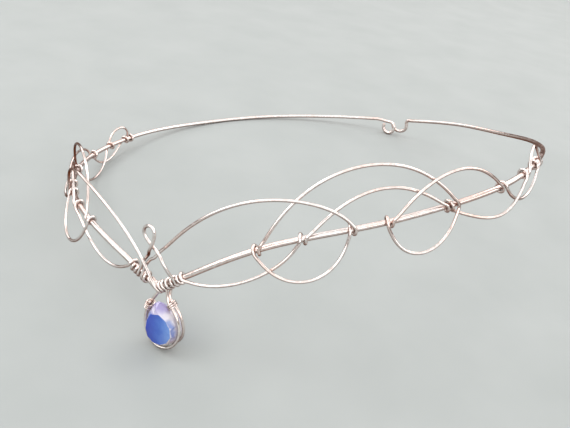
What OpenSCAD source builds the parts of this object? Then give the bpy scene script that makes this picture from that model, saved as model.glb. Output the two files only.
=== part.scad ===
// Wire circlet: a head band closed by a hook and eye, two scroll wires on each
// half, a looped finial and a glass drop in a doubled wire frame on the brow.
// It is built brow towards -Y and nape towards +Y, then set down on the floor
// as it lies by itself: on the drop's frame, the eye and the left temple.

/* [Head band] */
// Width across the temples, between centre lines of the wire
head_w = 156; // [130:1:190]
// Length from brow to nape, between centre lines of the wire
head_l = 184; // [150:1:220]
// Diameter of the head band's wire
band_d = 1.5; // [1:0.1:2.2]
// Depth of the point that the band makes on the brow
brow_dip = 20; // [6:1:30]
// Droop of the band at the nape
nape_dip = 8; // [2:1:16]
// Height that the right half is bent above the left one at the temples
sway = 1.4; // [0:0.1:3]
// Distance of the point on the brow to the right of the middle
brow_off = 0.9; // [-2:0.1:2]

/* [Scroll wires] */
// Diameter of the scroll wires
scroll_d = 0.8; // [0.5:0.1:1.1]
// Height of the tallest arc above the band
arc_rise = 14.7; // [8:0.1:20]
// Gap left between two wires that lie against each other
wire_gap = 0.1; // [0.1:0.05:0.2]
// Advance along the band of one turn round it
turn_step = 1.4; // [1.3:0.1:2]

/* [Finial] */
// Height of the finial's top above the point on the brow
finial_h = 17.6; // [14:0.1:24]
// Half of the distance along the band between the finial's feet
finial_foot = 6.8; // [6:0.1:7.6]

/* [Drop] */
// Width of the drop's wire frame between centre lines
frame_w = 11.2; // [9:0.1:15]
// Height of the drop's wire frame between centre lines
frame_h = 15.8; // [13:0.1:21]
// Gap between the stone's edge and the frame's wires
stone_gap = 0.3; // [0.2:0.05:0.5]
// Thickness of the stone between its two tables
stone_t = 5; // [4:0.1:6]
// Thickness of the stone's edge
edge_t = 0.8; // [0.5:0.1:1.2]
// Number of crown facets round each table
facets = 16; // [10:2:20]
// Diameter of the hole drilled across the stone's top
hole_d = 0.8; // [0.7:0.1:1]
// Diameter of the thin wire that hangs the stone
hanger_d = 0.4; // [0.3:0.05:0.5]
// Turns of the thin wire on each leg of the frame
hanger_turns = 3; // [2:1:4]

/* [Clasp] */
// Diameter of the eye between centre lines
eye_d = 5.6; // [5:0.1:7]
// Width of the hook between centre lines
hook_w = 7.4; // [6:0.1:9]
// Depth that the hook hangs below the band
hook_h = 5.6; // [4.5:0.1:7]

/* [Hidden] */

RIGHT = 1;
LEFT = -1;
band_sides = 8;
wire_sides = 6;
// Length of a ring's step along the band, along an arc, and the rings of one turn
band_pitch = 4;
arc_pitch = 2.8;
turn_rings = 12;

// Path of one half of the band at equal steps from brow to nape.
// Columns: share of half the width, share of half the length, share of
// brow_dip, share of nape_dip, share of sway
BAND = [
  [0.000, -1.000, 1.000, 0.00,  0.00],
  [0.360, -0.926, 0.375, 0.00, -0.20],
  [0.700, -0.720, 0.180, 0.00,  0.20],
  [0.937, -0.423, 0.065, 0.00,  0.50],
  [1.000, -0.060, 0.000, 0.00,  0.40],
  [0.920,  0.303, 0.000, 0.24, -0.35],
  [0.710,  0.625, 0.000, 0.53, -1.00],
  [0.392,  0.871, 0.000, 0.76, -0.45],
  [0.000,  1.000, 0.000, 1.00,  0.00],
];

// Places of the nine ties of the scroll wires, as shares of half the girth
TIES = [0.0345, 0.120, 0.1635, 0.207, 0.241, 0.3020, 0.3725, 0.421, 0.462];

// Arcs and loops, the right half's first and the left half's second. Columns:
// lean of the start and of the end as shares of the span, rise as a share of
// arc_rise, outward bulge near the start and near the end in wire widths
BROW_ARC  = [[0.062, 0.140,  0.874, -3.8,  3.3], [0.120, 0.120,  0.900,  1.0, -1.8]];
BROW_LOOP = [[0.120, 0.300, -0.677,  0.7,  2.2], [0.220, 0.220, -0.630,  5.9,  3.4]];
HIGH_ARC  = [[0.286, 0.284,  1.015, -0.5, -0.3], [0.000, 0.452,  1.034, -7.3, -6.8]];
SIDE_LOOP = [[0.140, 0.150, -0.650,  0.3,  0.4], [0.310, 0.020, -0.389,  7.4, -0.7]];
SIDE_ARC  = [[0.270, 0.330,  0.618,  3.0, -1.0], [0.349, 0.002,  0.279, -0.9,  0.5]];
REAR_LOOP = [[0.300, 0.160, -0.420, -1.1,  0.0], [0.170, 0.390, -0.360, -1.1, -1.0]];
BROW_SWAG = [[0.360, 0.150, -0.460, -0.8, -0.5], [0.320, 0.340, -0.477,  0.0, -1.5]];
LOW_ARC   = [[0.348, 0.363,  0.590, -1.3, -0.6], [0.250, 0.260,  0.420, -2.8, -3.7]];
SIDE_SWAG = [[0.440, 0.450, -0.420,  0.9,  2.4], [0.193, 0.250, -0.510, -2.4, -3.9]];
REAR_ARC  = [[0.090, 0.210,  0.420, -0.3, -2.0], [0.200, 0.050,  0.360,  0.0, -4.0]];

// Finial between its feet. Columns: distance to the right, height above the
// point on the brow, both as shares of finial_h, and distance in front of the
// band in widths of scroll wire
FINIAL = [
  [ 0.284, 0.341, 1.3],
  [ 0.249, 0.455, 1.9],
  [ 0.205, 0.550, 1.8],
  [ 0.136, 0.631, 1.6],
  [ 0.051, 0.710, 1.5],
  [-0.014, 0.795, 1.6],
  [-0.035, 0.886, 1.7],
  [ 0.007, 0.960, 2.0],
  [ 0.094, 1.000, 2.4],
  [ 0.168, 0.989, 2.7],
  [ 0.199, 0.926, 2.8],
  [ 0.186, 0.841, 2.8],
  [ 0.125, 0.716, 2.9],
  [ 0.036, 0.619, 2.2],
  [-0.092, 0.504, 0.0],
  [-0.234, 0.371, -0.7],
];

lap = scroll_d + wire_gap;
turn_r = band_d/2 + scroll_d/2 + wire_gap;

function unit(v) = v/norm(v);
function drop_z(v) = [v.x, v.y, 0];
function spline(p0, p1, p2, p3, t) =
  0.5*(2*p1 + (p2 - p0)*t + (2*p0 - 5*p1 + 4*p2 - p3)*t*t + (3*p1 - p0 - 3*p2 + p3)*t*t*t);
function bezier(p0, p1, p2, p3, t) =
  p0*pow(1 - t, 3) + p1*3*t*pow(1 - t, 2) + p2*3*t*t*(1 - t) + p3*t*t*t;

// Head band: points, outward direction and length
last_knot = len(BAND) - 1;
function knot(i, side) =
  i < 0 ? 2*knot(0, side) - knot(1, side) :
  i > last_knot ? knot(2*last_knot - i, -side) :
  [side*BAND[i][0]*head_w/2 + (i == 0 ? brow_off : 0), BAND[i][1]*head_l/2,
   side*BAND[i][4]*sway - BAND[i][2]*brow_dip - BAND[i][3]*nape_dip];
function half_band(u, side) =
  let (k = u*last_knot, i = min(floor(k), last_knot - 1))
  spline(knot(i - 1, side), knot(i, side), knot(i + 1, side), knot(i + 2, side), k - i);
function length_of(p) = len(p) < 2 ? 0 : norm_sum([for (i = [1:len(p) - 1]) norm(p[i] - p[i - 1])]);
function norm_sum(v) = v*[for (x = v) 1];
girth_steps = 64;
half_girth = length_of([for (i = [0:girth_steps]) half_band(i/girth_steps, RIGHT)]);

// A place s mm along the band from the brow; below zero is the other half
function side_at(s, side) = s < 0 ? -side : side;
function band_at(s, side) = half_band(abs(s)/half_girth, side_at(s, side));
dir_reach = 0.3;
function band_dir(s, side) =
  let (a = max(abs(s) - dir_reach, 0), b = a + 2*dir_reach, q = side_at(s, side))
  unit(band_at(b, q) - band_at(a, q))*(s < 0 ? -1 : 1);
function outward(s, side) =
  let (d = unit(drop_z(band_dir(s, side)))) side*[d.y, -d.x, 0];
function beside(s, h, out, side) = band_at(s, side) + out*outward(s, side) + [0, 0, h];
function round_band(s, a, side) =
  let (o = outward(s, side), up = side*cross(o, band_dir(s, side)))
  band_at(s, side) + turn_r*(cos(a)*o + sin(a)*up);

// Turns round the band from place s0 to s1 and from angle a0 to a1, where
// angle 0 is in front and 90 is on top
function turns(s0, s1, a0, a1, side) =
  let (n = ceil(abs(a1 - a0)/360*turn_rings))
  [for (i = [0:n]) round_band(s0 + (s1 - s0)*i/n, a0 + (a1 - a0)*i/n, side)];

// Height that keeps a wire level where it crosses the brow's point
brow_slope = (knot(1, RIGHT).z - knot(0, RIGHT).z)/norm(knot(1, RIGHT) - knot(0, RIGHT));
crest_share = 0.4;
function crest(s, s0) =
  s0 < 0 && abs(s) < -s0 ? -s0*brow_slope*crest_share*pow(1 - pow(s/s0, 2), 2) : 0;

// One arc or loop between two places on the band, without its end points.
// low is true where it starts from under the band
function arc(row, s0, s1, side, low = false) =
  let (r = row[side == RIGHT ? 0 : 1], h = r[2]*arc_rise*4/3,
       p0 = low ? [s0, -turn_r, 0] : [s0, 0, turn_r],
       p1 = [s0 + r[0]*(s1 - s0), h, turn_r + r[3]*lap],
       p2 = [s1 - r[1]*(s1 - s0), h, turn_r + r[4]*lap],
       p3 = [s1, 0, turn_r],
       n = ceil((abs(s1 - s0) + abs(h))/arc_pitch))
  [for (i = [1:n - 1]) let (q = bezier(p0, p1, p2, p3, i/n))
    beside(q.x, q.y + crest(q.x, s0), q.z, side)];

function tie(i) = TIES[i - 1]*half_girth;
function before(i) = tie(i) - turn_step/2;
function after(i) = tie(i) + turn_step/2;
// The feet on the brow are set out from the middle, not from the band's point
function from_middle(s, side) = s - side*brow_off;
// Places where the outer scroll passes in front of the band beside tie 6 (laps
// from it on the right and the left half), where the inner one leaves that tie,
// and where each scroll ends beside tie 9
passing_laps = [1.9, 2.5];
function passing(side) = after(6) + passing_laps[side == RIGHT ? 0 : 1]*lap;
leaving = after(6) + 0.3*lap;
end_apart = turn_step*0.6;
outer_end = tie(9) - end_apart;
inner_end = tie(9) + end_apart;
// Angles of a whole turn round the band, and of one whose end is tucked in
whole_turn = 360;
end_turn = 420;

// Frame of the drop: a pear outline, where angle 0 is on top and 90 to the right
pear_k = 0.5;
pear_max = 0.862;
frame_top = -1.2;
function pear(a, k) = sin(a)*pow(abs(sin(a/2)), k);
frame_skew = 0.16;
function frame_at(a, h = frame_h) =
  let (x = frame_w/2*pear(a, pear_k)/pear_max)
  [x, frame_top - h/2*(1 - cos(a)) + frame_skew*x];
brow = knot(0, RIGHT);
// The front loop lies before the stone's edge; the rear one is wider on the
// right, steps back below and crosses behind the stone's lower edge
front_y = -lap/2;
rear_y = lap/2;
rear_step = 1.3;
rear_rise = 0.6;
rear_out = 0.45;
rear_bend = 6;
function front_loop(a) = let (q = frame_at(a)) brow + [q.x, front_y, q.y];
function rear_loop(a) =
  let (f = pow(sin(a/2), rear_bend), q = frame_at(a, frame_h - rear_rise))
  brow + [q.x + rear_out*(1 + sin(a))/2, rear_y + rear_step*f, q.y];

// Outer scroll wires: each ends as one loop of the drop's frame, crosses the
// brow, turns round the other half of the band and runs out to the temple.
// The right one lies behind the band from the point on the brow to its turns.
// Each cross is the place where its turns start and end and their first angle
loop_step = 9;
front_ends = [312, 51];
rear_ends = [316, 28];
cross_right = [-4.2, -5.5, -520];
cross_left = [-2.5, -0.3, -765];
behind_band = [-0.9, -2, -3.1];
rear_tail = [-4.4, -3.45];
under = [270, -90];
function outer_legs(side) =
  side == RIGHT
  ? concat(turns(rear_tail[0], rear_tail[1], under[0], under[1], LEFT),
           [for (a = [rear_ends[0]:-loop_step:rear_ends[1]]) rear_loop(-a)],
           [for (s = behind_band) round_band(s, cross_right[2], RIGHT)])
  : [for (a = [front_ends[0]:-loop_step:front_ends[1]]) front_loop(a)];
function outer_scroll(side) =
  let (c = side == RIGHT ? cross_right : cross_left)
  concat(
    outer_legs(side),
    turns(c[0], c[1], c[2], 0, side),
    arc(BROW_ARC, c[1], after(4), side),
    turns(after(4), before(4), 0, -whole_turn, side),
    arc(BROW_LOOP, before(4), before(2), side),
    turns(before(2), after(2), 0, whole_turn, side),
    arc(HIGH_ARC, after(2), passing(side), side),
    [beside(passing(side), 0, turn_r, side)],
    arc(SIDE_LOOP, passing(side), before(5), side),
    turns(before(5), after(5), 0, whole_turn, side),
    arc(SIDE_ARC, after(5), before(7), side),
    turns(before(7), after(7), 0, -whole_turn, side),
    arc(REAR_LOOP, after(7), outer_end - turn_step, side),
    turns(outer_end - turn_step, outer_end, 0, end_turn, side));

// Inner scroll wires: from a tie beside the finial's foot to the temple
function inner_scroll(side) =
  let (s0 = from_middle(before(1), side), s1 = from_middle(after(1), side))
  concat(
    turns(s0, s1, end_turn, 0, side),
    arc(BROW_SWAG, s1, before(3), side),
    turns(before(3), after(3), 0, whole_turn, side),
    arc(LOW_ARC, after(3), before(6), side),
    turns(before(6), leaving, 0, under[1] - whole_turn, side),
    arc(SIDE_SWAG, leaving, before(8), side, true),
    turns(before(8), after(8), 0, whole_turn, side),
    arc(REAR_ARC, after(8), inner_end, side),
    turns(inner_end, inner_end + turn_step, 0, -end_turn, side));

// Finial: feet turned round the band on both sides of the point on the brow
function foot_far(side) = from_middle(finial_foot, side) + turn_step/2;
function foot_near(side) = from_middle(finial_foot, side) - turn_step/2;
function finial_knot(i) =
  let (r = FINIAL[i]) brow + [r[0]*finial_h, -turn_r - (r[2] - 1)*lap, r[1]*finial_h];
function finial_way() =
  let (k = concat([beside(foot_far(RIGHT), 0, turn_r, RIGHT)],
                  [for (i = [0:len(FINIAL) - 1]) finial_knot(i)],
                  [beside(foot_near(LEFT), 0, turn_r, LEFT)]),
       e = len(k) - 1)
  [for (i = [0:e - 1], t = [0, 1/3, 2/3])
    if (i + t > 0) spline(k[max(i - 1, 0)], k[i], k[i + 1], k[min(i + 2, e)], t)];
function finial_route() =
  concat(
    turns(foot_near(RIGHT), foot_far(RIGHT), -end_turn, 0, RIGHT),
    finial_way(),
    turns(foot_near(LEFT), foot_far(LEFT), 0, -end_turn, LEFT));

// Head band with the eye at the end of its left half and the hook at the other
clasp_split = 0.9;
eye_x = -4.7;
eye_drop = 0.8;
nape = knot(last_knot, RIGHT);
eye_mid = nape + [eye_x, -clasp_split, -eye_drop - eye_d/2];
hook_x = 0.3;
bend_r = 1.5;
bend_mid = nape + [hook_x + hook_w/2 + bend_r, 0, -bend_r];
hook_mid = nape + [hook_x, 0, -hook_h/2 - bend_r/8];
function eye_at(a) = eye_mid + eye_d/2*[sin(a), 0, cos(a)];
function bend_at(a) = bend_mid + bend_r*[-sin(a), 0, cos(a)] + [0, clasp_split*a/180, 0];
hook_lean = 1.3;
function hook_at(a) =
  hook_mid + [hook_w/2*cos(a), clasp_split*(0.5 + hook_lean*sin(a/2)), -hook_h/2*sin(a)];
// First angle, step and last angle of the eye, the bend and the hook
eye_angles = [300, -15, 0];
bend_angles = [0, 22.5, 90];
hook_angles = [10, 15, 190];
function steps(v) = [for (a = [v[0]:v[1]:v[2]]) a];
// Stretch of band left out before the eye and before the hook's bend
eye_reach = 11;
hook_reach = hook_x + hook_w/2 + bend_r + 1;
function half_points(side, reach) =
  let (n = round((half_girth - reach)/band_pitch))
  [for (i = [1:n]) band_at((half_girth - reach)*i/n, side)];
function reversed(p) = [for (i = [len(p) - 1:-1:0]) p[i]];
function band_route() =
  concat(
    [for (a = steps(eye_angles)) eye_at(a)],
    reversed(half_points(LEFT, eye_reach)),
    [brow],
    half_points(RIGHT, hook_reach),
    [for (a = steps(bend_angles)) bend_at(a)],
    [for (a = steps(hook_angles)) hook_at(a)]);

// Thin wire: turns round each leg of the frame and runs through the stone
leg_mid = 56;
leg_half = 6;
wind_in = scroll_d/2 + hanger_d/2 + 3*wire_gap;
wind_y = scroll_d + hanger_d/2 + 3.5*wire_gap;
function wind(q, side) =
  let (a = side*(leg_mid + leg_half*(2*q - 1)), p = frame_at(a),
       d = frame_at(a + side) - frame_at(a - side), n = side*unit([d.y, -d.x]),
       half_out = rear_out*(1 + sin(a))/4, f = 360*hanger_turns*q,
       c = (wind_in + half_out)*cos(f))
  brow + [p.x + half_out + c*n.x, wind_y*sin(f), p.y + c*n.y];
hole_z = -6.1;
hole_reach = frame_w*0.255;
function hanger_route() =
  let (n = hanger_turns*turn_rings)
  concat(
    [for (i = [0:n]) wind(i/n, RIGHT)],
    [for (x = [1, -1]) brow + [x*hole_reach, 0, hole_z + x*hole_reach*frame_skew]],
    [for (i = [n:-1:0]) wind(i/n, LEFT)]);

// Stone: pear outline with a table and a ring of crown facets on each face
hole_sides = 24;
stone_top = -4.1;
stone_k = 0.35;
stone_max = 0.895;
table_share = 0.62;
table_z = -11.9;
stone_w = frame_w - scroll_d - 2*stone_gap;
stone_h = frame_h - frame_top + stone_top - scroll_d/2 - stone_gap;
function outline_at(i, share, z, y) =
  let (a = 360*i/facets, x = share*stone_w/2*pear(a, stone_k)/stone_max)
  brow + [x, y, z + share*stone_h/2*cos(a) + frame_skew*x];

// Tubes swept along a route
function tangents(p) =
  let (e = len(p) - 1) [for (i = [0:e]) unit(p[min(i + 1, e)] - p[max(i - 1, 0)])];
function across(t) = unit(cross(t, abs(t.z) < 0.9 ? [0, 0, 1] : [1, 0, 0]));
function carried(n, t) = unit(n - (n*t)*t);
function tube_points(p, r, sides) =
  let (t = tangents(p), e = len(p) - 1,
       n = [for (i = 0, v = across(t[0]); i <= e; i = i + 1, v = carried(v, t[min(i, e)])) v])
  [for (i = [0:e], j = [0:sides - 1])
    let (a = 360*j/sides) p[i] + r*(cos(a)*n[i] + sin(a)*cross(t[i], n[i]))];
function tube_faces(count, sides) =
  concat(
    [[for (j = [0:sides - 1]) j]],
    [for (i = [0:count - 2], j = [0:sides - 1], k = [0, 1])
      let (a = i*sides + j, b = i*sides + (j + 1)%sides)
      k == 0 ? [a, a + sides, b + sides] : [a, b + sides, b]],
    [[for (j = [sides - 1:-1:0]) (count - 1)*sides + j]]);

// Resting place. A pose is [foot, yaw, pitch, roll]: yaw and pitch lay the line
// from the frame's foot to the eye's foot along the floor, and roll lowers the
// left half until its first wire meets the floor
function turn_z(p, a) = [p.x*cos(a) - p.y*sin(a), p.x*sin(a) + p.y*cos(a), p.z];
function turn_x(p, a) = [p.x, p.y*cos(a) - p.z*sin(a), p.y*sin(a) + p.z*cos(a)];
function turn_y(p, a) = [p.x*cos(a) + p.z*sin(a), p.y, p.z*cos(a) - p.x*sin(a)];
function levelled(p, foot, yaw, pitch) = turn_x(turn_z(p - foot, yaw), pitch);
side_reach = 10;
function roll_to(q, r) =
  q.x > -side_reach ? 90 : atan2(q.z, -q.x) - asin((r - scroll_d/2)/norm([q.x, q.z]));
function pose_on(foot, heel) =
  let (span = heel - foot, yaw = atan2(span.x, span.y),
       pitch = asin((band_d - scroll_d)/2/norm(span)) - atan2(span.z, norm(drop_z(span))),
       rolls = concat(
         [for (p = outer_scroll(LEFT)) roll_to(levelled(p, foot, yaw, pitch), scroll_d/2)],
         [for (p = inner_scroll(LEFT)) roll_to(levelled(p, foot, yaw, pitch), scroll_d/2)],
         [for (p = half_points(LEFT, eye_reach))
           roll_to(levelled(p, foot, yaw, pitch), band_d/2)]))
  [foot, yaw, pitch, -min(rolls)];
function placed(p, pose) = turn_y(levelled(p, pose[0], pose[1], pose[2]), pose[3]);
function lowest(points, pose) =
  let (z = [for (p = points) placed(p, pose).z]) points[search(min(z), z)[0]];
lower_side = [120, 4, 240];
level_pose = pose_on(front_loop(180), eye_at(180));
foot = lowest([for (a = steps(lower_side)) front_loop(a)], level_pose);
heel = lowest([for (a = steps(lower_side)) eye_at(a)], level_pose);
rest_pose = pose_on(foot, heel);

wire_points = concat(
  tube_points(band_route(), band_d/2, band_sides),
  tube_points(outer_scroll(RIGHT), scroll_d/2, wire_sides),
  tube_points(outer_scroll(LEFT), scroll_d/2, wire_sides),
  tube_points(inner_scroll(LEFT), scroll_d/2, wire_sides));
rest_points = [for (p = wire_points) placed(p, rest_pose)];
function middle(v) = (min(v) + max(v))/2;
shift = [-middle([for (p = rest_points) p.x]), -middle([for (p = rest_points) p.y]),
         -min([for (p = rest_points) p.z])];

module at_rest()
  translate(shift) rotate([0, rest_pose[3], 0]) rotate([rest_pose[2], 0, 0])
    rotate([0, 0, rest_pose[1]]) translate(-foot) children();

module wire(route, d, sides)
  at_rest() polyhedron(tube_points(route, d/2, sides), tube_faces(len(route), sides));

module head_band() color("silver") wire(band_route(), band_d, band_sides);
module outer_scroll_right() color("gainsboro") wire(outer_scroll(RIGHT), scroll_d, wire_sides);
module outer_scroll_left() color("gainsboro") wire(outer_scroll(LEFT), scroll_d, wire_sides);
module inner_scroll_right() color("silver") wire(inner_scroll(RIGHT), scroll_d, wire_sides);
module inner_scroll_left() color("silver") wire(inner_scroll(LEFT), scroll_d, wire_sides);
module finial() color("gainsboro") wire(finial_route(), scroll_d, wire_sides);
module hanger_wire() color("silver") wire(hanger_route(), hanger_d, wire_sides);

module stone() color("cornflowerblue") at_rest() difference() {
  stone_body();
  translate(brow + [0, 0, hole_z]) rotate([0, 90 - atan(frame_skew), 0])
    cylinder(h = 2*stone_w, d = hole_d, center = true, $fn = hole_sides);
}

module stone_body() {
  mid = stone_top - stone_h/2;
  rings = [[1, mid, -edge_t/2], [1, mid, edge_t/2],
           [table_share, table_z, -stone_t/2], [table_share, table_z, stone_t/2]];
  points = [for (r = rings, i = [0:facets - 1]) outline_at(i, r[0], r[1], r[2])];
  function id(ring, i) = ring*facets + i%facets;
  walls = [for (w = [[0, 1], [2, 0], [1, 3]], i = [0:facets - 1], k = [0, 1])
    k == 0 ? [id(w[0], i), id(w[1], i), id(w[1], i + 1)]
           : [id(w[0], i), id(w[1], i + 1), id(w[0], i + 1)]];
  tables = [[for (i = [0:facets - 1]) id(2, i)], [for (i = [facets - 1:-1:0]) id(3, i)]];
  polyhedron(points, concat(walls, tables));
}

head_band();
outer_scroll_right();
outer_scroll_left();
inner_scroll_right();
inner_scroll_left();
finial();
hanger_wire();
stone();
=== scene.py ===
"""Wire circlet with a faceted glass drop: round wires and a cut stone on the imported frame."""
import math

import bpy
import numpy as np
from mathutils import Matrix, Vector

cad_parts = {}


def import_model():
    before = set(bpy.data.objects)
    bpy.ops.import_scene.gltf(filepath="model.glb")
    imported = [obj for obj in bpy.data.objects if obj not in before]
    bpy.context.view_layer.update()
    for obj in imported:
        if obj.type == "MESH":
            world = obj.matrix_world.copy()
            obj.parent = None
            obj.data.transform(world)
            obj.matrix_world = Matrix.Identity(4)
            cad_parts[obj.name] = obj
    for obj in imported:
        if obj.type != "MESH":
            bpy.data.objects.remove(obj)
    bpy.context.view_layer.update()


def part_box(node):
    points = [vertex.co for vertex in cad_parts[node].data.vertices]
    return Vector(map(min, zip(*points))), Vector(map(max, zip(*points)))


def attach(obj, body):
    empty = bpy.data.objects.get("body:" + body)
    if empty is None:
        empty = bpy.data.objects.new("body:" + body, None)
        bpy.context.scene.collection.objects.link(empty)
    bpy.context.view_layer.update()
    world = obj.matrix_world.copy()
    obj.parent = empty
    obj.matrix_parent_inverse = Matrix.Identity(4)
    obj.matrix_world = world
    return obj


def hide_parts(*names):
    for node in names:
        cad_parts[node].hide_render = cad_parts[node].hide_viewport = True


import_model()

# Sizes of the frame's own model in metres, and the thin wire's turns as a count
HEAD_W = 0.156
HEAD_L = 0.184
BAND_D = 0.0015
BROW_DIP = 0.020
NAPE_DIP = 0.008
SWAY = 0.0014
BROW_OFF = 0.0009
SCROLL_D = 0.0008
ARC_RISE = 0.0147
WIRE_GAP = 0.0001
TURN_STEP = 0.0014
FINIAL_H = 0.0176
FINIAL_FOOT = 0.0068
FRAME_W = 0.0112
FRAME_H = 0.0158
STONE_GAP = 0.0003
STONE_T = 0.005
EDGE_T = 0.0008
HOLE_D = 0.0008
HANGER_D = 0.0004
HANGER_TURNS = 3
EYE_D = 0.0056
HOOK_W = 0.0074
HOOK_H = 0.0056

RIGHT = 1
LEFT = -1
BAND_PITCH = 0.004
ARC_PITCH = 0.0028
TURN_RINGS = 12
LAP = SCROLL_D + WIRE_GAP
TURN_R = BAND_D / 2 + SCROLL_D / 2 + WIRE_GAP
UP = np.array([0.0, 0.0, 1.0])

# Path of one half of the band at equal steps from brow to nape. Columns: share of half
# the width, of half the length, of BROW_DIP, of NAPE_DIP and of SWAY
BAND = [
    [0.000, -1.000, 1.000, 0.00, 0.00],
    [0.360, -0.926, 0.375, 0.00, -0.20],
    [0.700, -0.720, 0.180, 0.00, 0.20],
    [0.937, -0.423, 0.065, 0.00, 0.50],
    [1.000, -0.060, 0.000, 0.00, 0.40],
    [0.920, 0.303, 0.000, 0.24, -0.35],
    [0.710, 0.625, 0.000, 0.53, -1.00],
    [0.392, 0.871, 0.000, 0.76, -0.45],
    [0.000, 1.000, 0.000, 1.00, 0.00],
]
# Places of the nine ties of the scroll wires, as shares of half the girth
TIES = [0.0345, 0.120, 0.1635, 0.207, 0.241, 0.3020, 0.3725, 0.421, 0.462]
# Arcs and loops of the right and the left half. Columns: lean of the start and of the
# end as shares of the span, rise as a share of ARC_RISE, outward bulge near the start
# and near the end in wire widths
BROW_ARC = {RIGHT: [0.062, 0.140, 0.874, -3.8, 3.3], LEFT: [0.120, 0.120, 0.900, 1.0, -1.8]}
BROW_LOOP = {RIGHT: [0.120, 0.300, -0.677, 0.7, 2.2], LEFT: [0.220, 0.220, -0.630, 5.9, 3.4]}
HIGH_ARC = {RIGHT: [0.286, 0.284, 1.015, -0.5, -0.3], LEFT: [0.000, 0.452, 1.034, -7.3, -6.8]}
SIDE_LOOP = {RIGHT: [0.140, 0.150, -0.650, 0.3, 0.4], LEFT: [0.310, 0.020, -0.389, 7.4, -0.7]}
SIDE_ARC = {RIGHT: [0.270, 0.330, 0.618, 3.0, -1.0], LEFT: [0.349, 0.002, 0.279, -0.9, 0.5]}
REAR_LOOP = {RIGHT: [0.300, 0.160, -0.420, -1.1, 0.0], LEFT: [0.170, 0.390, -0.360, -1.1, -1.0]}
BROW_SWAG = {RIGHT: [0.360, 0.150, -0.460, -0.8, -0.5], LEFT: [0.320, 0.340, -0.477, 0.0, -1.5]}
LOW_ARC = {RIGHT: [0.348, 0.363, 0.590, -1.3, -0.6], LEFT: [0.250, 0.260, 0.420, -2.8, -3.7]}
SIDE_SWAG = {RIGHT: [0.440, 0.450, -0.420, 0.9, 2.4], LEFT: [0.193, 0.250, -0.510, -2.4, -3.9]}
REAR_ARC = {RIGHT: [0.090, 0.210, 0.420, -0.3, -2.0], LEFT: [0.200, 0.050, 0.360, 0.0, -4.0]}
# Finial between its feet. Columns: distance to the right and height above the point on
# the brow as shares of FINIAL_H, and distance in front of the band in wire widths
FINIAL = [
    [0.284, 0.341, 1.3],
    [0.249, 0.455, 1.9],
    [0.205, 0.550, 1.8],
    [0.136, 0.631, 1.6],
    [0.051, 0.710, 1.5],
    [-0.014, 0.795, 1.6],
    [-0.035, 0.886, 1.7],
    [0.007, 0.960, 2.0],
    [0.094, 1.000, 2.4],
    [0.168, 0.989, 2.7],
    [0.199, 0.926, 2.8],
    [0.186, 0.841, 2.8],
    [0.125, 0.716, 2.9],
    [0.036, 0.619, 2.2],
    [-0.092, 0.504, 0.0],
    [-0.234, 0.371, -0.7],
]


def sin_deg(a):
    return math.sin(math.radians(a))


def cos_deg(a):
    return math.cos(math.radians(a))


def unit(v):
    return v / np.linalg.norm(v)


def point(x, y, z):
    return np.array([x, y, z], float)


def spline(p0, p1, p2, p3, t):
    return 0.5 * (
        2 * p1 + (p2 - p0) * t + (2 * p0 - 5 * p1 + 4 * p2 - p3) * t**2 + (3 * p1 - p0 - 3 * p2 + p3) * t**3
    )


def bezier(p0, p1, p2, p3, t):
    return p0 * (1 - t) ** 3 + p1 * 3 * t * (1 - t) ** 2 + p2 * 3 * t * t * (1 - t) + p3 * t**3


# Head band

LAST_KNOT = len(BAND) - 1


def knot(i, side):
    if i < 0:
        return 2 * knot(0, side) - knot(1, side)
    if i > LAST_KNOT:
        return knot(2 * LAST_KNOT - i, -side)
    width, length, brow_share, nape_share, sway_share = BAND[i]
    return point(
        side * width * HEAD_W / 2 + (BROW_OFF if i == 0 else 0),
        length * HEAD_L / 2,
        side * sway_share * SWAY - brow_share * BROW_DIP - nape_share * NAPE_DIP,
    )


KNOTS = {side: [knot(i, side) for i in range(-1, LAST_KNOT + 3)] for side in (RIGHT, LEFT)}
BROW = knot(0, RIGHT)
NAPE = knot(LAST_KNOT, RIGHT)


def half_band(u, side):
    place = u * LAST_KNOT
    i = min(math.floor(place), LAST_KNOT - 1)
    return spline(*KNOTS[side][i : i + 4], place - i)


def length_of(points):
    return float(np.linalg.norm(np.diff(np.array(points), axis=0), axis=1).sum())


GIRTH_STEPS = 64
DIR_REACH = 0.0003
HALF_GIRTH = length_of([half_band(i / GIRTH_STEPS, RIGHT) for i in range(GIRTH_STEPS + 1)])


def side_at(s, side):
    return -side if s < 0 else side


def band_at(s, side):
    return half_band(abs(s) / HALF_GIRTH, side_at(s, side))


def band_dir(s, side):
    start = max(abs(s) - DIR_REACH, 0)
    half = side_at(s, side)
    return unit(band_at(start + 2 * DIR_REACH, half) - band_at(start, half)) * (-1 if s < 0 else 1)


def outward(s, side):
    d = band_dir(s, side)
    d = unit(point(d[0], d[1], 0))
    return side * point(d[1], -d[0], 0)


def beside(s, height, out, side):
    return band_at(s, side) + out * outward(s, side) + height * UP


def round_band(s, angle, side):
    out = outward(s, side)
    up = side * np.cross(out, band_dir(s, side))
    return band_at(s, side) + TURN_R * (cos_deg(angle) * out + sin_deg(angle) * up)


def turns(s0, s1, a0, a1, side):
    """Turns round the band, where angle 0 is in front and 90 is on top."""
    n = math.ceil(abs(a1 - a0) / 360 * TURN_RINGS)
    return [round_band(s0 + (s1 - s0) * i / n, a0 + (a1 - a0) * i / n, side) for i in range(n + 1)]


# Scroll wires

FIRST_SLOPE = knot(1, RIGHT) - BROW
BROW_SLOPE = FIRST_SLOPE[2] / np.linalg.norm(FIRST_SLOPE)
CREST_SHARE = 0.4


def crest(s, s0):
    """Height that keeps a wire level where it crosses the point on the brow."""
    if s0 < 0 and abs(s) < -s0:
        return -s0 * BROW_SLOPE * CREST_SHARE * (1 - (s / s0) ** 2) ** 2
    return 0


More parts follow.
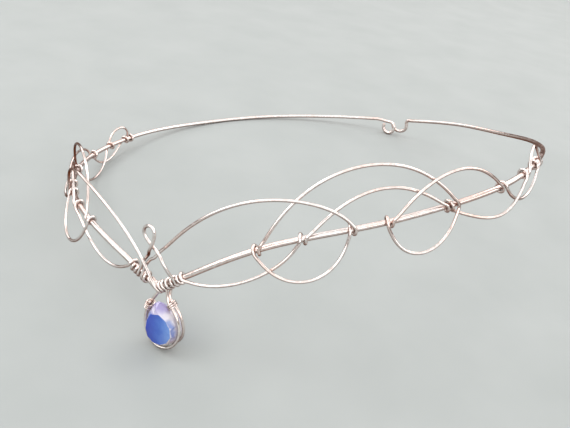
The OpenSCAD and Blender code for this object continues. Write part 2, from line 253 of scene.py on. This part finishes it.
def arc(rows, s0, s1, side, low=False):
    """One arc or loop between two places on the band, without its end points."""
    lean_start, lean_end, rise, bulge_start, bulge_end = rows[side]
    span = s1 - s0
    height = rise * ARC_RISE * 4 / 3
    p0 = point(s0, -TURN_R, 0) if low else point(s0, 0, TURN_R)
    p1 = point(s0 + lean_start * span, height, TURN_R + bulge_start * LAP)
    p2 = point(s1 - lean_end * span, height, TURN_R + bulge_end * LAP)
    p3 = point(s1, 0, TURN_R)
    n = math.ceil((abs(span) + abs(height)) / ARC_PITCH)
    way = [bezier(p0, p1, p2, p3, i / n) for i in range(1, n)]
    return [beside(q[0], q[1] + crest(q[0], s0), q[2], side) for q in way]


def tie(i):
    return TIES[i - 1] * HALF_GIRTH


def before(i):
    return tie(i) - TURN_STEP / 2


def after(i):
    return tie(i) + TURN_STEP / 2


def from_middle(s, side):
    return s - side * BROW_OFF


PASSING = {RIGHT: after(6) + 1.9 * LAP, LEFT: after(6) + 2.5 * LAP}
LEAVING = after(6) + 0.3 * LAP
END_APART = TURN_STEP * 0.6
OUTER_END = tie(9) - END_APART
INNER_END = tie(9) + END_APART
WHOLE_TURN = 360
END_TURN = 420

PEAR_K = 0.5
PEAR_MAX = 0.862
FRAME_TOP = -0.0012
FRAME_SKEW = 0.16
FRONT_Y = -LAP / 2
REAR_Y = LAP / 2
REAR_STEP = 0.0013
REAR_RISE = 0.0006
REAR_OUT = 0.00045
REAR_BEND = 6


def pear(a, k):
    return sin_deg(a) * abs(sin_deg(a / 2)) ** k


def frame_at(a, height=FRAME_H):
    """Outline of the drop's frame from the point on the brow, angle 0 on top, 90 to the right."""
    x = FRAME_W / 2 * pear(a, PEAR_K) / PEAR_MAX
    return np.array([x, FRAME_TOP - height / 2 * (1 - cos_deg(a)) + FRAME_SKEW * x])


def front_loop(a):
    x, z = frame_at(a)
    return BROW + point(x, FRONT_Y, z)


def rear_loop(a):
    x, z = frame_at(a, FRAME_H - REAR_RISE)
    back = REAR_Y + REAR_STEP * sin_deg(a / 2) ** REAR_BEND
    return BROW + point(x + REAR_OUT * (1 + sin_deg(a)) / 2, back, z)


LOOP_STEP = 9
FRONT_ENDS = (312, 51)
REAR_ENDS = (316, 28)
CROSS = {RIGHT: (-0.0042, -0.0055, -520), LEFT: (-0.0025, -0.0003, -765)}
BEHIND_BAND = (-0.0009, -0.0020, -0.0031)
REAR_TAIL = (-0.0044, -0.00345)
UNDER = (270, -90)


def outer_legs(side):
    if side == RIGHT:
        tail = turns(*REAR_TAIL, *UNDER, LEFT)
        loop = [rear_loop(-a) for a in range(REAR_ENDS[0], REAR_ENDS[1] - 1, -LOOP_STEP)]
        return tail + loop + [round_band(s, CROSS[RIGHT][2], RIGHT) for s in BEHIND_BAND]
    return [front_loop(a) for a in range(FRONT_ENDS[0], FRONT_ENDS[1] - 1, -LOOP_STEP)]


def outer_scroll(side):
    start, end, first = CROSS[side]
    passing = PASSING[side]
    return (
        outer_legs(side)
        + turns(start, end, first, 0, side)
        + arc(BROW_ARC, end, after(4), side)
        + turns(after(4), before(4), 0, -WHOLE_TURN, side)
        + arc(BROW_LOOP, before(4), before(2), side)
        + turns(before(2), after(2), 0, WHOLE_TURN, side)
        + arc(HIGH_ARC, after(2), passing, side)
        + [beside(passing, 0, TURN_R, side)]
        + arc(SIDE_LOOP, passing, before(5), side)
        + turns(before(5), after(5), 0, WHOLE_TURN, side)
        + arc(SIDE_ARC, after(5), before(7), side)
        + turns(before(7), after(7), 0, -WHOLE_TURN, side)
        + arc(REAR_LOOP, after(7), OUTER_END - TURN_STEP, side)
        + turns(OUTER_END - TURN_STEP, OUTER_END, 0, END_TURN, side)
    )


def inner_scroll(side):
    s0 = from_middle(before(1), side)
    s1 = from_middle(after(1), side)
    return (
        turns(s0, s1, END_TURN, 0, side)
        + arc(BROW_SWAG, s1, before(3), side)
        + turns(before(3), after(3), 0, WHOLE_TURN, side)
        + arc(LOW_ARC, after(3), before(6), side)
        + turns(before(6), LEAVING, 0, UNDER[1] - WHOLE_TURN, side)
        + arc(SIDE_SWAG, LEAVING, before(8), side, low=True)
        + turns(before(8), after(8), 0, WHOLE_TURN, side)
        + arc(REAR_ARC, after(8), INNER_END, side)
        + turns(INNER_END, INNER_END + TURN_STEP, 0, -END_TURN, side)
    )


# Finial, clasp and hanger wire


def finial_knot(row):
    right, height, front = row
    return BROW + point(right * FINIAL_H, -TURN_R - (front - 1) * LAP, height * FINIAL_H)


def finial_route():
    far = {side: from_middle(FINIAL_FOOT, side) + TURN_STEP / 2 for side in (RIGHT, LEFT)}
    near = {side: far[side] - TURN_STEP for side in (RIGHT, LEFT)}
    knots = [beside(far[RIGHT], 0, TURN_R, RIGHT)]
    knots += [finial_knot(row) for row in FINIAL]
    knots += [beside(near[LEFT], 0, TURN_R, LEFT)]
    last = len(knots) - 1
    way = []
    for i in range(last):
        around = [knots[max(i - 1, 0)], knots[i], knots[i + 1], knots[min(i + 2, last)]]
        way += [spline(*around, t) for t in (0, 1 / 3, 2 / 3) if i + t > 0]
    return (
        turns(near[RIGHT], far[RIGHT], -END_TURN, 0, RIGHT)
        + way
        + turns(near[LEFT], far[LEFT], 0, -END_TURN, LEFT)
    )


CLASP_SPLIT = 0.0009
EYE_X = -0.0047
EYE_DROP = 0.0008
EYE_MID = NAPE + point(EYE_X, -CLASP_SPLIT, -EYE_DROP - EYE_D / 2)
HOOK_X = 0.0003
BEND_R = 0.0015
BEND_MID = NAPE + point(HOOK_X + HOOK_W / 2 + BEND_R, 0, -BEND_R)
HOOK_MID = NAPE + point(HOOK_X, 0, -HOOK_H / 2 - BEND_R / 8)
EYE_REACH = 0.011
BEND_ROOM = 0.001
HOOK_REACH = HOOK_X + HOOK_W / 2 + BEND_R + BEND_ROOM
HOOK_LEAN = 1.3
# First angle, step and last angle of the eye, the bend and the hook
EYE_ANGLES = (300, -15, 0)
BEND_ANGLES = (0, 22.5, 90)
HOOK_ANGLES = (10, 15, 190)
LOWER_SIDE = (120, 4, 240)


def steps(first, step, last):
    return [first + step * i for i in range(round((last - first) / step) + 1)]


def eye_at(a):
    return EYE_MID + EYE_D / 2 * point(sin_deg(a), 0, cos_deg(a))


def bend_at(a):
    return BEND_MID + BEND_R * point(-sin_deg(a), 0, cos_deg(a)) + point(0, CLASP_SPLIT * a / 180, 0)


def hook_at(a):
    back = CLASP_SPLIT * (0.5 + HOOK_LEAN * sin_deg(a / 2))
    return HOOK_MID + point(HOOK_W / 2 * cos_deg(a), back, -HOOK_H / 2 * sin_deg(a))


def half_points(side, reach):
    n = round((HALF_GIRTH - reach) / BAND_PITCH)
    return [band_at((HALF_GIRTH - reach) * i / n, side) for i in range(1, n + 1)]


def band_route():
    return (
        [eye_at(a) for a in steps(*EYE_ANGLES)]
        + half_points(LEFT, EYE_REACH)[::-1]
        + [BROW]
        + half_points(RIGHT, HOOK_REACH)
        + [bend_at(a) for a in steps(*BEND_ANGLES)]
        + [hook_at(a) for a in steps(*HOOK_ANGLES)]
    )


LEG_MID = 56
LEG_HALF = 6
WIND_IN = SCROLL_D / 2 + HANGER_D / 2 + 3 * WIRE_GAP
WIND_Y = SCROLL_D + HANGER_D / 2 + 3.5 * WIRE_GAP
HOLE_Z = -0.0061
HOLE_SHARE = 0.255
HOLE_REACH = FRAME_W * HOLE_SHARE


def wind(share, side):
    """A place on the turns of the thin wire round one leg of the frame."""
    a = side * (LEG_MID + LEG_HALF * (2 * share - 1))
    x, z = frame_at(a)
    along = frame_at(a + side) - frame_at(a - side)
    out = side * unit(np.array([along[1], -along[0]]))
    half_out = REAR_OUT * (1 + sin_deg(a)) / 4
    turn = 360 * HANGER_TURNS * share
    reach = (WIND_IN + half_out) * cos_deg(turn)
    return BROW + point(x + half_out + reach * out[0], WIND_Y * sin_deg(turn), z + reach * out[1])


def hanger_route():
    n = HANGER_TURNS * TURN_RINGS
    through = [BROW + point(x * HOLE_REACH, 0, HOLE_Z + x * HOLE_REACH * FRAME_SKEW) for x in (1, -1)]
    right_leg = [wind(i / n, RIGHT) for i in range(n + 1)]
    left_leg = [wind(i / n, LEFT) for i in range(n, -1, -1)]
    return right_leg + through + left_leg


# Resting place, worked out as the frame's own model does it

SIDE_REACH = 0.010


def turned(yaw=0.0, pitch=0.0, roll=0.0):
    return Matrix.Rotation(roll, 3, "Y") @ Matrix.Rotation(pitch, 3, "X") @ Matrix.Rotation(yaw, 3, "Z")


def moved(points, foot, matrix):
    return (np.array(points) - foot) @ np.array(matrix).T


def pose_on(foot, heel):
    """Turns the foot and the heel down to the floor, then the left half until it touches."""
    span = heel - foot
    yaw = math.atan2(span[0], span[1])
    drop = (BAND_D - SCROLL_D) / 2
    pitch = math.asin(drop / np.linalg.norm(span)) - math.atan2(span[2], math.hypot(span[0], span[1]))
    rolls = []
    for points, radius in (
        (outer_scroll(LEFT), SCROLL_D / 2),
        (inner_scroll(LEFT), SCROLL_D / 2),
        (half_points(LEFT, EYE_REACH), BAND_D / 2),
    ):
        q = moved(points, foot, turned(yaw, pitch))
        q = q[q[:, 0] <= -SIDE_REACH]
        lift = np.arcsin((radius - SCROLL_D / 2) / np.hypot(q[:, 0], q[:, 2]))
        rolls += list(np.arctan2(q[:, 2], -q[:, 0]) - lift)
    return yaw, pitch, -min(rolls)


def lowest(points, foot, pose):
    return points[int(np.argmin(moved(points, foot, turned(*pose))[:, 2]))]


def resting():
    """The resting turn and the foot that it turns about."""
    level_foot = front_loop(180)
    level = pose_on(level_foot, eye_at(180))
    foot = lowest([front_loop(a) for a in steps(*LOWER_SIDE)], level_foot, level)
    heel = lowest([eye_at(a) for a in steps(*LOWER_SIDE)], level_foot, level)
    return foot, turned(*pose_on(foot, heel))


FOOT, REST = resting()


# Meshes of wires


def smoothed(route, step):
    """A smooth line through a route's points, with a point at least every step."""
    p = np.array(route)
    chords = np.diff(p, axis=0)
    lengths = np.linalg.norm(chords, axis=1)[:, None]
    ways = chords / lengths
    slopes = np.vstack([ways[:1], np.zeros_like(ways[1:]), ways[-1:]])
    slopes[1:-1] = (ways[:-1] * lengths[1:] + ways[1:] * lengths[:-1]) / (lengths[1:] + lengths[:-1])
    out = []
    for i, length in enumerate(lengths[:, 0]):
        n = math.ceil(length / step)
        for t in np.arange(n) / n:
            out.append(
                p[i] * (2 * t**3 - 3 * t**2 + 1)
                + slopes[i] * length * (t**3 - 2 * t**2 + t)
                + p[i + 1] * (3 * t**2 - 2 * t**3)
                + slopes[i + 1] * length * (t**3 - t**2)
            )
    return np.array(out + [p[-1]])


# Rings of a rounded wire end. Columns: reach beyond the last point and radius, both in
# wire radii
END_RINGS = [[0.25, 0.97], [0.45, 0.86], [0.58, 0.66], [0.64, 0.35]]


def tube(name, line, radius, sides):
    """A closed round wire along a line, with rounded ends."""
    tangents = np.gradient(line, axis=0)
    tangents /= np.linalg.norm(tangents, axis=1)[:, None]
    side = unit(np.cross(tangents[0], UP if abs(tangents[0][2]) < 0.9 else point(1, 0, 0)))
    frames = []
    for t in tangents:
        side = unit(side - (side @ t) * t)
        frames.append((side, np.cross(t, side)))
    rings = []
    for reach, share in END_RINGS[::-1]:
        rings.append((line[0] - reach * radius * tangents[0], frames[0], share * radius))
    rings += [(p, f, radius) for p, f in zip(line, frames)]
    for reach, share in END_RINGS:
        rings.append((line[-1] + reach * radius * tangents[-1], frames[-1], share * radius))
    angles = 2 * np.pi * np.arange(sides) / sides
    circle = np.stack([np.cos(angles), np.sin(angles)], axis=1)
    verts = np.concatenate([c + r * (circle @ np.array(f)) for c, f, r in rings])
    count = len(rings)
    faces = [tuple(range(sides - 1, -1, -1)), tuple(range((count - 1) * sides, count * sides))]
    for i in range(count - 1):
        for j in range(sides):
            a, b = i * sides + j, i * sides + (j + 1) % sides
            faces.append((a, b, b + sides, a + sides))
    return mesh_object(name, verts, faces, smooth=True)


def mesh_object(name, verts, faces, smooth):
    """A mesh made in the level frame and set down where the circlet rests."""
    placed = moved(verts, FOOT, REST) + SHIFT
    mesh = bpy.data.meshes.new(name)
    mesh.from_pydata(placed.tolist(), [], faces)
    mesh.validate()
    for polygon in mesh.polygons:
        polygon.use_smooth = smooth
    obj = bpy.data.objects.new(name, mesh)
    bpy.context.scene.collection.objects.link(obj)
    return obj


def shift_to_frame():
    """The last shift of the resting place, read from the place of the frame's head band."""
    low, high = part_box("head_band")
    at_foot = moved(band_route(), FOOT, REST)
    middle = (at_foot.min(axis=0) + at_foot.max(axis=0)) / 2
    return (np.array(low) + np.array(high)) / 2 - middle


SHIFT = shift_to_frame()


def wire(name, node, slot, material, route, diameter, sides, step):
    piece = tube(name, smoothed(route, step), diameter / 2, sides)
    piece.data.materials.append(material)
    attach(piece, "root")
    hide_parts(node)
    return piece


# Stone

STONE_TOP = -0.0041
STONE_K = 0.35
STONE_MAX = 0.895
STONE_W = FRAME_W - SCROLL_D - 2 * STONE_GAP
STONE_H = FRAME_H - FRAME_TOP + STONE_TOP - SCROLL_D / 2 - STONE_GAP
STONE_MID = STONE_TOP - STONE_H / 2
TABLE_SHARE = 0.75
TABLE_WIDER = 1.12
TABLE_RIGHT = 0.0003
TABLE_Z = -0.0104
TABLE_CUT = -0.0064
TOP_LEAN = 0.0008
LEAN_POWER = 6
MIDDLE_SHARE = 0.86
MIDDLE_DEPTH = 0.74
MAIN_FACETS = 12
HOLE_SIDES = 24


def stone_at(step, share, z, y):
    """A point of the stone's outline, drawn in to a share of it about height z."""
    a = 360 * step / MAIN_FACETS
    x = share * STONE_W / 2 * pear(a, STONE_K) / STONE_MAX
    top = point(x, y, z + share * STONE_H / 2 * cos_deg(a) + FRAME_SKEW * x)
    top[0] -= TOP_LEAN * share * (0.5 + 0.5 * cos_deg(a)) ** LEAN_POWER
    return BROW + top


def table_at(step, y):
    """A corner of the table, whose top is cut off straight."""
    p = stone_at(step, TABLE_SHARE, TABLE_Z, y)
    p[0] = BROW[0] + TABLE_RIGHT + (p[0] - BROW[0]) * TABLE_WIDER
    skewed_cut = BROW[2] + TABLE_CUT + FRAME_SKEW * (p[0] - BROW[0])
    p[2] = min(p[2], skewed_cut)
    return p


def stone_mesh():
    """Corners and faces of the cut stone: per face a table, stars, kites and girdle facets."""
    verts = []
    faces = []
    n = MAIN_FACETS
    for face in (-1, 1):
        base = len(verts)
        y_edge = face * EDGE_T / 2
        y_top = face * STONE_T / 2
        y_mid = y_edge + (y_top - y_edge) * MIDDLE_DEPTH
        middle_z = STONE_MID + (TABLE_Z - STONE_MID) * MIDDLE_DEPTH
        verts += [stone_at(i / 2, 1, STONE_MID, y_edge) for i in range(2 * n)]
        verts += [stone_at(i + 0.5, MIDDLE_SHARE, middle_z, y_mid) for i in range(n)]
        verts += [table_at(i, y_top) for i in range(n)]
        made = []
        for i in range(n):
            girdle = base + 2 * i
            half = base + 2 * i + 1
            next_girdle = base + (2 * i + 2) % (2 * n)
            mid = base + 2 * n + i
            mid_before = base + 2 * n + (i - 1) % n
            table = base + 3 * n + i
            next_table = base + 3 * n + (i + 1) % n
            made += [(girdle, half, mid), (half, next_girdle, mid)]
            made += [(table, mid_before, girdle), (table, girdle, mid)]
            made += [(table, mid, next_table)]
        made.append(tuple(base + 3 * n + i for i in range(n)))
        faces += made if face == -1 else [f[::-1] for f in made]
    other = 4 * n
    for i in range(2 * n):
        j = (i + 1) % (2 * n)
        faces.append((i, other + i, other + j, j))
    return np.array(verts), faces


def hole_cutter():
    """A rod as wide as the hole that is drilled across the stone's top."""
    sides = HOLE_SIDES
    verts = []
    for end in (-1, 1):
        for i in range(sides):
            a = 360 * i / sides
            x = end * STONE_W
            z = HOLE_Z + HOLE_D / 2 * sin_deg(a) + x * FRAME_SKEW
            verts.append(BROW + point(x, HOLE_D / 2 * cos_deg(a), z))
    faces = [tuple(range(sides)), tuple(range(2 * sides - 1, sides - 1, -1))]
    for i in range(sides):
        j = (i + 1) % sides
        faces.append((j, i, i + sides, j + sides))
    return mesh_object("hole_cutter", verts, faces, smooth=False)


def stone_piece():
    """The drilled stone, with its tables in the second material."""
    verts, faces = stone_mesh()
    piece = mesh_object("glass_drop", verts, faces, smooth=False)
    piece.data.materials.append(crown_glass())
    piece.data.materials.append(table_glass())
    for polygon in piece.data.polygons:
        polygon.material_index = int(len(polygon.vertices) == MAIN_FACETS)
    cutter = hole_cutter()
    cut = piece.modifiers.new("hole", "BOOLEAN")
    cut.object = cutter
    cut.solver = "EXACT"
    depsgraph = bpy.context.evaluated_depsgraph_get()
    drilled = bpy.data.meshes.new_from_object(piece.evaluated_get(depsgraph))
    piece.modifiers.clear()
    piece.data = drilled
    bpy.data.objects.remove(cutter)
    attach(piece, "root")
    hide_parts("stone")


# Materials

BLACK = (0, 0, 0)
WHITE = (1, 1, 1)
SILVER = (0.97, 0.93, 0.91)
ROSE = (0.90, 0.68, 0.60)
# Painted shade on the wires' undersides, a dark rose-brown
UNDERSIDE_PAINTED_SHADE = (0.46, 0.30, 0.26)
EDGE_TINT = (0.25, 0.14, 0.11)
# Colour of the painted highlights on the stone's crown
HIGHLIGHT_WHITE = (0.92, 0.89, 0.92)
WAVY_SHARE = 0.3
# Sockets of a mix node that hold its two colours and its result
COLOUR_A = 6
COLOUR_B = 7
COLOUR_OUT = 2


def new_material(name):
    material = bpy.data.materials.new(name)
    material.use_nodes = True
    tree = material.node_tree
    shader = tree.nodes["Principled BSDF"]
    return material, tree, shader


def add(tree, kind, **values):
    node = tree.nodes.new(kind)
    for key, value in values.items():
        setattr(node, key, value)
    return node


def object_coords(tree):
    return add(tree, "ShaderNodeTexCoord").outputs["Object"]


def axes(tree, vector):
    """The X, Y and Z of a vector."""
    node = add(tree, "ShaderNodeSeparateXYZ")
    tree.links.new(vector, node.inputs[0])
    return node.outputs


def facing(tree):
    return axes(tree, add(tree, "ShaderNodeNewGeometry").outputs["Normal"])


def noise(tree, coords, scale, detail, distortion=0.0):
    node = add(tree, "ShaderNodeTexNoise")
    node.inputs["Scale"].default_value = scale
    node.inputs["Detail"].default_value = detail
    node.inputs["Distortion"].default_value = distortion
    tree.links.new(coords, node.inputs["Vector"])
    return node.outputs["Fac"]


def ramp(tree, value, stops):
    """A colour ramp over a value. Stops are (place, colour)."""
    node = add(tree, "ShaderNodeValToRGB")
    elements = node.color_ramp.elements
    for i, (place, colour) in enumerate(stops):
        element = elements[i] if i < 2 else elements.new(place)
        element.position = place
        element.color = (*colour, 1)
    tree.links.new(value, node.inputs["Fac"])
    return node.outputs["Color"]


def mix(tree, factor, a, b, blend="MIX"):
    """Two colours mixed. The factor is a number or a socket, a colour is a tuple or a socket."""
    node = add(tree, "ShaderNodeMix", data_type="RGBA", blend_type=blend)
    inputs = node.inputs
    for value, socket in ((factor, inputs["Factor"]), (a, inputs[COLOUR_A]), (b, inputs[COLOUR_B])):
        if isinstance(value, float):
            socket.default_value = value
        elif isinstance(value, tuple):
            socket.default_value = (*value, 1)
        else:
            tree.links.new(value, socket)
    return node.outputs[COLOUR_OUT]


def multiply(tree, a, b):
    return mix(tree, 1.0, a, b, "MULTIPLY")


def to_range(tree, value, low, high, start=0.0, end=1.0):
    node = add(tree, "ShaderNodeMapRange")
    tree.links.new(value, node.inputs["Value"])
    for name, number in (("From Min", start), ("From Max", end), ("To Min", low), ("To Max", high)):
        node.inputs[name].default_value = number
    return node.outputs["Result"]


def bump(tree, height, strength, distance):
    node = add(tree, "ShaderNodeBump")
    node.inputs["Strength"].default_value = strength
    node.inputs["Distance"].default_value = distance
    tree.links.new(height, node.inputs["Height"])
    return node.outputs["Normal"]


def silver(name, rose, roughness):
    """Polished silver plate, with rose patches where the copper tints it, and painted shade on its
    underside: darker rose-brown where it faces down.
    """
    material, tree, shader = new_material(name)
    coords = object_coords(tree)
    blotches = noise(tree, coords, scale=55, detail=2)
    patches = ramp(tree, blotches, [(0.42, BLACK), (0.75, (rose, rose, rose))])
    tint = mix(tree, patches, SILVER, ROSE)
    # Painted shade: faces turned down are mixed towards dark rose-brown
    painted_underside = to_range(tree, facing(tree)["Z"], 1.0, 0.0, start=-0.50, end=0.20)
    tint = mix(tree, painted_underside, tint, UNDERSIDE_PAINTED_SHADE)
    specks = noise(tree, coords, scale=900, detail=4)
    tarnish = ramp(tree, specks, [(0.35, (0.86, 0.84, 0.82)), (0.6, WHITE)])
    tree.links.new(multiply(tree, tint, tarnish), shader.inputs["Base Color"])
    rubbed = noise(tree, coords, scale=420, detail=3)
    worn = to_range(tree, rubbed, roughness * 0.6, roughness * 1.6, start=0.3, end=0.7)
    tree.links.new(worn, shader.inputs["Roughness"])
    shader.inputs["Metallic"].default_value = 1.0
    shader.inputs["Specular Tint"].default_value = (*EDGE_TINT, 1)
    dents = noise(tree, coords, scale=600, detail=2)
    tree.links.new(bump(tree, dents, strength=0.25, distance=0.00004), shader.inputs["Normal"])
    return material


def floor_material():
    material, tree, shader = new_material("pale_floor")
    coords = object_coords(tree)
    clouds = noise(tree, coords, scale=30, detail=3)
    shade = ramp(tree, clouds, [(0.3, (0.35, 0.38, 0.375)), (0.7, (0.38, 0.41, 0.405))])
    tree.links.new(shade, shader.inputs["Base Color"])
    shader.inputs["Roughness"].default_value = 0.7
    return material


def stone_places(tree):
    """Shares of the stone's height, width and depth, from its foot, its left edge and its front."""
    low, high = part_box("stone")
    place = axes(tree, object_coords(tree))
    height = to_range(tree, place["Z"], 0.0, 1.0, low[2], high[2])
    width = to_range(tree, place["X"], 0.0, 1.0, low[0], high[0])
    depth = to_range(tree, place["Y"], 0.0, 1.0, low[1], high[1])
    return height, width, depth


def glass(colour, tree, shader, transmission):
    tree.links.new(colour, shader.inputs["Base Color"])
    shader.inputs["Roughness"].default_value = 0.05
    shader.inputs["IOR"].default_value = 1.45
    shader.inputs["Transmission Weight"].default_value = transmission
    shader.inputs["Coat Weight"].default_value = 1.0
    shader.inputs["Coat Roughness"].default_value = 0.02


def table_glass():
    """Opal glass seen through the table: deep blue, paler up and to the right."""
    material, tree, shader = new_material("table_glass")
    coords = object_coords(tree)
    height, width, _ = stone_places(tree)
    blues = [
        (0.15, (0.012, 0.06, 0.50)),
        (0.55, (0.05, 0.17, 0.62)),
        (0.9, (0.20, 0.38, 0.78)),
    ]
    across = ramp(tree, width, blues)
    lower = ramp(tree, height, [(0.15, (0.62, 0.60, 0.80)), (0.6, WHITE)])
    wisps = noise(tree, coords, scale=350, detail=3)
    cloud = ramp(tree, wisps, [(0.38, (0.66, 0.76, 0.92)), (0.60, WHITE)])
    blue = multiply(tree, multiply(tree, across, lower), cloud)
    glass(blue, tree, shader, 0.1)
    return material


def crown_glass():
    """Opal glass seen through the crown: lilac on top, then a white band and cream at the foot painted as
    refracted light, with painted highlight crescents and facets painted lighter where they face right.
    """
    material, tree, shader = new_material("crown_glass")
    coords = object_coords(tree)
    height, _, depth = stone_places(tree)
    # Lilac and blue are the glass's colour; the white band above the table and the cream at the foot are
    # painted refracted light
    bands = [
        (0.05, (0.78, 0.70, 0.58)),
        (0.28, (0.52, 0.40, 0.50)),
        (0.50, (0.22, 0.30, 0.70)),
        (0.79, (0.30, 0.42, 0.82)),
        (0.84, (0.93, 0.91, 1.00)),
        (0.885, (0.88, 0.86, 0.98)),
        (0.94, (0.36, 0.30, 0.72)),
    ]
    colour_and_light = ramp(tree, height, bands)
    # Painted highlights: white crescents placed across the depth with a wavy noise, kept off the cap, mixed
    # over the crown colours
    wavy = add(tree, "ShaderNodeMath", operation="MULTIPLY_ADD")
    tree.links.new(noise(tree, coords, scale=420, detail=3, distortion=1.5), wavy.inputs[0])
    wavy.inputs[1].default_value = WAVY_SHARE
    tree.links.new(depth, wavy.inputs[2])
    highlight_crescents = [
        (0.20, BLACK),
        (0.25, WHITE),
        (0.31, BLACK),
        (0.44, (0.1, 0.1, 0.1)),
        (0.58, (0.8, 0.8, 0.8)),
    ]
    below = ramp(tree, height, [(0.80, WHITE), (0.90, (0.3, 0.3, 0.3))])
    bright = multiply(tree, ramp(tree, wavy.outputs[0], highlight_crescents), below)
    pale = mix(tree, bright, colour_and_light, HIGHLIGHT_WHITE)
    # Painted light and shade: facets facing right are painted white, facets facing left a darker lilac-grey
    turned_right = to_range(tree, facing(tree)["X"], 0.0, 1.0, start=-0.8, end=0.8)
    cut = ramp(tree, turned_right, [(0.2, (0.60, 0.58, 0.80)), (0.8, WHITE)])
    glass(multiply(tree, pale, cut), tree, shader, 0.2)
    return material


# Camera, floor and lights

LENS = 37.895
SENSOR = 36.0
CAMERA_AT = point(0.09886, -0.19538, 0.04330)
CAMERA_RIGHT = Vector((0.8714, 0.4884, -0.0462))
CAMERA_UP = Vector((-0.1141, 0.2933, 0.9492))


def make_camera():
    camera = bpy.data.cameras.new("camera")
    camera.lens = LENS
    camera.sensor_width = SENSOR
    camera.clip_start = 0.01
    obj = bpy.data.objects.new("camera", camera)
    bpy.context.scene.collection.objects.link(obj)
    right = (REST @ CAMERA_RIGHT).normalized()
    up = (REST @ CAMERA_UP).normalized()
    back = right.cross(up).normalized()
    up = back.cross(right)
    turn = Matrix((right, up, back)).transposed().to_4x4()
    at = moved([CAMERA_AT], FOOT, REST)[0] + SHIFT
    obj.matrix_world = Matrix.Translation(Vector(at)) @ turn
    bpy.context.scene.camera = obj


FLOOR_REACH = 3.0


def make_floor():
    mesh = bpy.data.meshes.new("floor")
    corners = [(x * FLOOR_REACH, y * FLOOR_REACH, 0) for x, y in ((-1, -1), (1, -1), (1, 1), (-1, 1))]
    mesh.from_pydata(corners, [], [(0, 1, 2, 3)])
    mesh.materials.append(floor_material())
    obj = bpy.data.objects.new("floor", mesh)
    bpy.context.scene.collection.objects.link(obj)


def softbox(name, at, aim, size, energy, colour):
    light = bpy.data.lights.new(name, "AREA")
    light.shape = "RECTANGLE"
    light.size, light.size_y = size
    light.energy = energy
    light.color = colour
    obj = bpy.data.objects.new(name, light)
    obj.location = at
    obj.rotation_euler = (Vector(aim) - Vector(at)).to_track_quat("-Z", "Y").to_euler()
    bpy.context.scene.collection.objects.link(obj)


# Sky of the studio by height of the direction, 0 at the horizon and 1 overhead
SKY = [
    (0.00, (0.10, 0.06, 0.05)),
    (0.10, (0.14, 0.09, 0.08)),
    (0.24, (2.60, 2.50, 2.46)),
    (0.46, (1.70, 1.63, 1.61)),
    (0.62, (0.45, 0.38, 0.36)),
    (0.82, (1.40, 1.40, 1.40)),
]


def make_sky():
    world = bpy.data.worlds.new("studio")
    world.use_nodes = True
    tree = world.node_tree
    background = tree.nodes["Background"]
    direction = add(tree, "ShaderNodeTexCoord").outputs["Generated"]
    tree.links.new(ramp(tree, axes(tree, direction)["Z"], SKY), background.inputs["Color"])
    bpy.context.scene.world = world


LIGHT_AIM = (0, 0, 0.02)


def make_lights():
    make_sky()
    softbox("key", (-0.45, -0.25, 0.65), LIGHT_AIM, size=(0.4, 0.3), energy=1.7, colour=(1, 0.98, 0.96))
    softbox("back", (0.25, 0.60, 0.55), LIGHT_AIM, size=(0.6, 0.25), energy=1.2, colour=(1, 0.97, 0.94))


# Round sides of each kind of wire, and the longest step along it in metres
BAND_MESH = (20, 0.0012)
SCROLL_MESH = (14, 0.0004)
FINIAL_MESH = (14, 0.0003)
FINE_MESH = (10, 0.0001)


def build():
    bright = silver("bright_wire", rose=0.75, roughness=0.16)
    band_metal = silver("band_metal", rose=0.6, roughness=0.18)
    wire("band_wire", "head_band", "band_wire", band_metal, band_route(), BAND_D, *BAND_MESH)
    for side, word in ((RIGHT, "right"), (LEFT, "left")):
        for kind, route in (("outer", outer_scroll(side)), ("inner", inner_scroll(side))):
            name = f"{kind}_wire_{word}"
            node = f"{kind}_scroll_{word}"
            wire(name, node, "scroll_wire", bright, route, SCROLL_D, *SCROLL_MESH)
    wire("finial_wire", "finial", "scroll_wire", bright, finial_route(), SCROLL_D, *FINIAL_MESH)
    wire("fine_wire", "hanger_wire", "hanger_wire", bright, hanger_route(), HANGER_D, *FINE_MESH)
    stone_piece()


bpy.context.scene.view_settings.view_transform = "Standard"
build()
make_camera()
make_floor()
make_lights()
